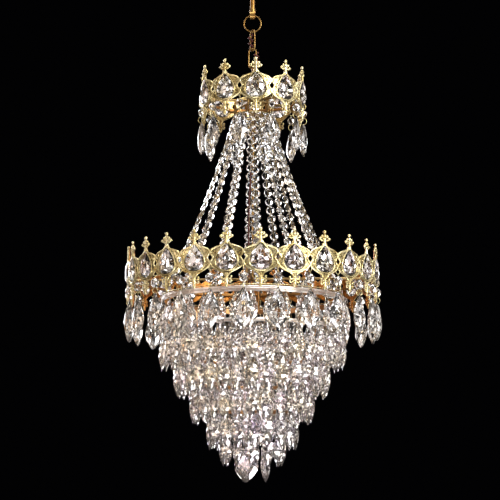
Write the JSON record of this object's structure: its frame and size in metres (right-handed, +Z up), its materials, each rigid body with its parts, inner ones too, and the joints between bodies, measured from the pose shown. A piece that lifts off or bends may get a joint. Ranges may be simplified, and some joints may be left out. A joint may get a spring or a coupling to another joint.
{
  "type": "miniature chandelier",
  "caption": "Small two-crown basket chandelier: cast gilt galleries, faceted stones, bead strands and tiered crystal drops, hung by a ring and links from a rod.",
  "frame": {"origin": "centre of the flat top face of the hanger rod", "axes": "+Z up along the rod; -Y towards the viewer of the front; +X to the viewer's right"},
  "size_m": [0.0724, 0.0724, 0.1445],
  "materials": {
    "gilt_brass": "pale gilt casting, bright on the edges and browner in the recesses",
    "rod_brass": "polished yellow brass",
    "polished_hoop": "polished bright metal with a warm tint",
    "crystal": "clear faceted crystal",
    "flex": "dark red-brown insulation",
    "lamp_socket": "brown moulded",
    "lamp_glass": "clear warm lamp glass"
  },
  "bodies": {
    "hanger": {"hanger_rod": "rod_brass"},
    "ring": {"hanger_ring": "rod_brass"},
    "upper_link": {"upper_chain_link": "rod_brass", "flex_on_upper_link": "flex"},
    "lower_link": {"lower_chain_link": "rod_brass", "flex_on_lower_link": "flex"},
    "chandelier": {"central_stem": "gilt_brass", "supply_flex": "flex", "upper_spider": "gilt_brass", "upper_crown_gallery": "gilt_brass", "upper_crown_jewels": "crystal", "bead_strands": "crystal", "lower_spider": "gilt_brass", "lower_crown_gallery": "gilt_brass", "lower_crown_jewels": "crystal", "cascade_top_hoop": "polished_hoop", "basket_frame": "polished_hoop", "crystal_tier_a": "crystal", "crystal_tier_b": "crystal", "crystal_tier_c": "crystal", "crystal_tier_d": "crystal", "crystal_tier_e": "crystal", "crystal_tier_f": "crystal", "lamp_holder": "lamp_socket", "lamp_bulb": "lamp_glass"},
    "bottom_cluster": {"bottom_drops": "crystal"},
    "upper_pendant_01": {"upper_pendant_01": "crystal"},
    "upper_pendant_02": {"upper_pendant_02": "crystal"},
    "upper_pendant_03": {"upper_pendant_03": "crystal"},
    "upper_pendant_04": {"upper_pendant_04": "crystal"},
    "upper_pendant_05": {"upper_pendant_05": "crystal"},
    "upper_pendant_06": {"upper_pendant_06": "crystal"},
    "upper_pendant_07": {"upper_pendant_07": "crystal"},
    "upper_pendant_08": {"upper_pendant_08": "crystal"},
    "upper_pendant_09": {"upper_pendant_09": "crystal"},
    "upper_pendant_10": {"upper_pendant_10": "crystal"},
    "lower_pendant_01": {"lower_pendant_01": "crystal"},
    "lower_pendant_02": {"lower_pendant_02": "crystal"},
    "lower_pendant_03": {"lower_pendant_03": "crystal"},
    "lower_pendant_04": {"lower_pendant_04": "crystal"},
    "lower_pendant_05": {"lower_pendant_05": "crystal"},
    "lower_pendant_06": {"lower_pendant_06": "crystal"},
    "lower_pendant_07": {"lower_pendant_07": "crystal"},
    "lower_pendant_08": {"lower_pendant_08": "crystal"},
    "lower_pendant_09": {"lower_pendant_09": "crystal"},
    "lower_pendant_10": {"lower_pendant_10": "crystal"},
    "lower_pendant_11": {"lower_pendant_11": "crystal"},
    "lower_pendant_12": {"lower_pendant_12": "crystal"},
    "lower_pendant_13": {"lower_pendant_13": "crystal"},
    "lower_pendant_14": {"lower_pendant_14": "crystal"},
    "lower_pendant_15": {"lower_pendant_15": "crystal"},
    "lower_pendant_16": {"lower_pendant_16": "crystal"},
    "lower_pendant_17": {"lower_pendant_17": "crystal"},
    "lower_pendant_18": {"lower_pendant_18": "crystal"},
    "lower_pendant_19": {"lower_pendant_19": "crystal"},
    "lower_pendant_20": {"lower_pendant_20": "crystal"},
    "lower_pendant_21": {"lower_pendant_21": "crystal"},
    "lower_pendant_22": {"lower_pendant_22": "crystal"},
    "lower_pendant_23": {"lower_pendant_23": "crystal"},
    "lower_pendant_24": {"lower_pendant_24": "crystal"}
  },
  "joints": [
    {"name": "ring_swing", "type": "hinge", "parent": "hanger", "child": "ring", "pos_m": [0, 0, -0.0105], "axis": [1, 0, 0], "range_deg": [-30, 30]},
    {"name": "upper_link_swing", "type": "hinge", "parent": "ring", "child": "upper_link", "pos_m": [0, 0, -0.01491], "axis": [0.5736, 0.8192, 0], "range_deg": [-25, 25]},
    {"name": "lower_link_swing", "type": "hinge", "parent": "upper_link", "child": "lower_link", "pos_m": [0, 0, -0.02046], "axis": [1, 0, 0], "range_deg": [-25, 25]},
    {"name": "chandelier_swing", "type": "hinge", "parent": "lower_link", "child": "chandelier", "pos_m": [0, 0, -0.02564], "axis": [0, 1, 0], "range_deg": [-20, 20]},
    {"name": "bottom_cluster_swing", "type": "hinge", "parent": "chandelier", "child": "bottom_cluster", "pos_m": [0, 0, -0.13204], "axis": [0, 1, 0], "range_deg": [-8, 8]},
    {"name": "upper_pendant_01_swing", "type": "hinge", "parent": "chandelier", "child": "upper_pendant_01", "pos_m": [-0.01453, -0.00091, -0.0365], "axis": [-0.0628, 0.998, 0], "range_deg": [-15, 20]},
    {"name": "upper_pendant_02_swing", "type": "hinge", "parent": "chandelier", "child": "upper_pendant_02", "pos_m": [-0.01122, -0.00928, -0.0365], "axis": [-0.6374, 0.7705, 0], "range_deg": [-15, 20]},
    {"name": "upper_pendant_03_swing", "type": "hinge", "parent": "chandelier", "child": "upper_pendant_03", "pos_m": [-0.00362, -0.01411, -0.0365], "axis": [-0.9686, 0.2487, 0], "range_deg": [-15, 20]},
    {"name": "upper_pendant_04_swing", "type": "hinge", "parent": "chandelier", "child": "upper_pendant_04", "pos_m": [0.00536, -0.01354, -0.0365], "axis": [-0.9298, -0.3681, 0], "range_deg": [-15, 20]},
    {"name": "upper_pendant_05_swing", "type": "hinge", "parent": "chandelier", "child": "upper_pendant_05", "pos_m": [0.0123, -0.0078, -0.0365], "axis": [-0.5358, -0.8443, 0], "range_deg": [-15, 20]},
    {"name": "upper_pendant_06_swing", "type": "hinge", "parent": "chandelier", "child": "upper_pendant_06", "pos_m": [0.01453, 0.00091, -0.0365], "axis": [0.0628, -0.998, 0], "range_deg": [-15, 20]},
    {"name": "upper_pendant_07_swing", "type": "hinge", "parent": "chandelier", "child": "upper_pendant_07", "pos_m": [0.01122, 0.00928, -0.0365], "axis": [0.6374, -0.7705, 0], "range_deg": [-15, 20]},
    {"name": "upper_pendant_08_swing", "type": "hinge", "parent": "chandelier", "child": "upper_pendant_08", "pos_m": [0.00362, 0.01411, -0.0365], "axis": [0.9686, -0.2487, 0], "range_deg": [-15, 20]},
    {"name": "upper_pendant_09_swing", "type": "hinge", "parent": "chandelier", "child": "upper_pendant_09", "pos_m": [-0.00536, 0.01354, -0.0365], "axis": [0.9298, 0.3681, 0], "range_deg": [-15, 20]},
    {"name": "upper_pendant_10_swing", "type": "hinge", "parent": "chandelier", "child": "upper_pendant_10", "pos_m": [-0.0123, 0.0078, -0.0365], "axis": [0.5358, 0.8443, 0], "range_deg": [-15, 20]},
    {"name": "lower_pendant_01_swing", "type": "hinge", "parent": "chandelier", "child": "lower_pendant_01", "pos_m": [-0.03487, 0.00244, -0.0883], "axis": [0.0698, 0.9976, 0], "range_deg": [-20, 20]},
    {"name": "lower_pendant_02_swing", "type": "hinge", "parent": "chandelier", "child": "lower_pendant_02", "pos_m": [-0.03431, -0.00667, -0.0883], "axis": [-0.1908, 0.9816, 0], "range_deg": [-20, 20]},
    {"name": "lower_pendant_03_swing", "type": "hinge", "parent": "chandelier", "child": "lower_pendant_03", "pos_m": [-0.03141, -0.01532, -0.0883], "axis": [-0.4384, 0.8988, 0], "range_deg": [-20, 20]},
    {"name": "lower_pendant_04_swing", "type": "hinge", "parent": "chandelier", "child": "lower_pendant_04", "pos_m": [-0.02638, -0.02293, -0.0883], "axis": [-0.6561, 0.7547, 0], "range_deg": [-20, 20]},
    {"name": "lower_pendant_05_swing", "type": "hinge", "parent": "chandelier", "child": "lower_pendant_05", "pos_m": [-0.01954, -0.02898, -0.0883], "axis": [-0.829, 0.5592, 0], "range_deg": [-20, 20]},
    {"name": "lower_pendant_06_swing", "type": "hinge", "parent": "chandelier", "child": "lower_pendant_06", "pos_m": [-0.01138, -0.03305, -0.0883], "axis": [-0.9455, 0.3256, 0], "range_deg": [-20, 20]},
    {"name": "lower_pendant_07_swing", "type": "hinge", "parent": "chandelier", "child": "lower_pendant_07", "pos_m": [-0.00244, -0.03487, -0.0883], "axis": [-0.9976, 0.0698, 0], "range_deg": [-20, 20]},
    {"name": "lower_pendant_08_swing", "type": "hinge", "parent": "chandelier", "child": "lower_pendant_08", "pos_m": [0.00667, -0.03431, -0.0883], "axis": [-0.9816, -0.1908, 0], "range_deg": [-20, 20]},
    {"name": "lower_pendant_09_swing", "type": "hinge", "parent": "chandelier", "child": "lower_pendant_09", "pos_m": [0.01532, -0.03141, -0.0883], "axis": [-0.8988, -0.4384, 0], "range_deg": [-20, 20]},
    {"name": "lower_pendant_10_swing", "type": "hinge", "parent": "chandelier", "child": "lower_pendant_10", "pos_m": [0.02293, -0.02638, -0.0883], "axis": [-0.7547, -0.6561, 0], "range_deg": [-20, 20]},
    {"name": "lower_pendant_11_swing", "type": "hinge", "parent": "chandelier", "child": "lower_pendant_11", "pos_m": [0.02898, -0.01954, -0.0883], "axis": [-0.5592, -0.829, 0], "range_deg": [-20, 20]},
    {"name": "lower_pendant_12_swing", "type": "hinge", "parent": "chandelier", "child": "lower_pendant_12", "pos_m": [0.03305, -0.01138, -0.0883], "axis": [-0.3256, -0.9455, 0], "range_deg": [-20, 20]},
    {"name": "lower_pendant_13_swing", "type": "hinge", "parent": "chandelier", "child": "lower_pendant_13", "pos_m": [0.03487, -0.00244, -0.0883], "axis": [-0.0698, -0.9976, 0], "range_deg": [-20, 20]},
    {"name": "lower_pendant_14_swing", "type": "hinge", "parent": "chandelier", "child": "lower_pendant_14", "pos_m": [0.03431, 0.00667, -0.0883], "axis": [0.1908, -0.9816, 0], "range_deg": [-20, 20]},
    {"name": "lower_pendant_15_swing", "type": "hinge", "parent": "chandelier", "child": "lower_pendant_15", "pos_m": [0.03141, 0.01532, -0.0883], "axis": [0.4384, -0.8988, 0], "range_deg": [-20, 20]},
    {"name": "lower_pendant_16_swing", "type": "hinge", "parent": "chandelier", "child": "lower_pendant_16", "pos_m": [0.02638, 0.02293, -0.0883], "axis": [0.6561, -0.7547, 0], "range_deg": [-20, 20]},
    {"name": "lower_pendant_17_swing", "type": "hinge", "parent": "chandelier", "child": "lower_pendant_17", "pos_m": [0.01954, 0.02898, -0.0883], "axis": [0.829, -0.5592, 0], "range_deg": [-20, 20]},
    {"name": "lower_pendant_18_swing", "type": "hinge", "parent": "chandelier", "child": "lower_pendant_18", "pos_m": [0.01138, 0.03305, -0.0883], "axis": [0.9455, -0.3256, 0], "range_deg": [-20, 20]},
    {"name": "lower_pendant_19_swing", "type": "hinge", "parent": "chandelier", "child": "lower_pendant_19", "pos_m": [0.00244, 0.03487, -0.0883], "axis": [0.9976, -0.0698, 0], "range_deg": [-20, 20]},
    {"name": "lower_pendant_20_swing", "type": "hinge", "parent": "chandelier", "child": "lower_pendant_20", "pos_m": [-0.00667, 0.03431, -0.0883], "axis": [0.9816, 0.1908, 0], "range_deg": [-20, 20]},
    {"name": "lower_pendant_21_swing", "type": "hinge", "parent": "chandelier", "child": "lower_pendant_21", "pos_m": [-0.01532, 0.03141, -0.0883], "axis": [0.8988, 0.4384, 0], "range_deg": [-20, 20]},
    {"name": "lower_pendant_22_swing", "type": "hinge", "parent": "chandelier", "child": "lower_pendant_22", "pos_m": [-0.02293, 0.02638, -0.0883], "axis": [0.7547, 0.6561, 0], "range_deg": [-20, 20]},
    {"name": "lower_pendant_23_swing", "type": "hinge", "parent": "chandelier", "child": "lower_pendant_23", "pos_m": [-0.02898, 0.01954, -0.0883], "axis": [0.5592, 0.829, 0], "range_deg": [-20, 20]},
    {"name": "lower_pendant_24_swing", "type": "hinge", "parent": "chandelier", "child": "lower_pendant_24", "pos_m": [-0.03305, 0.01138, -0.0883], "axis": [0.3256, 0.9455, 0], "range_deg": [-20, 20]}
  ]
}
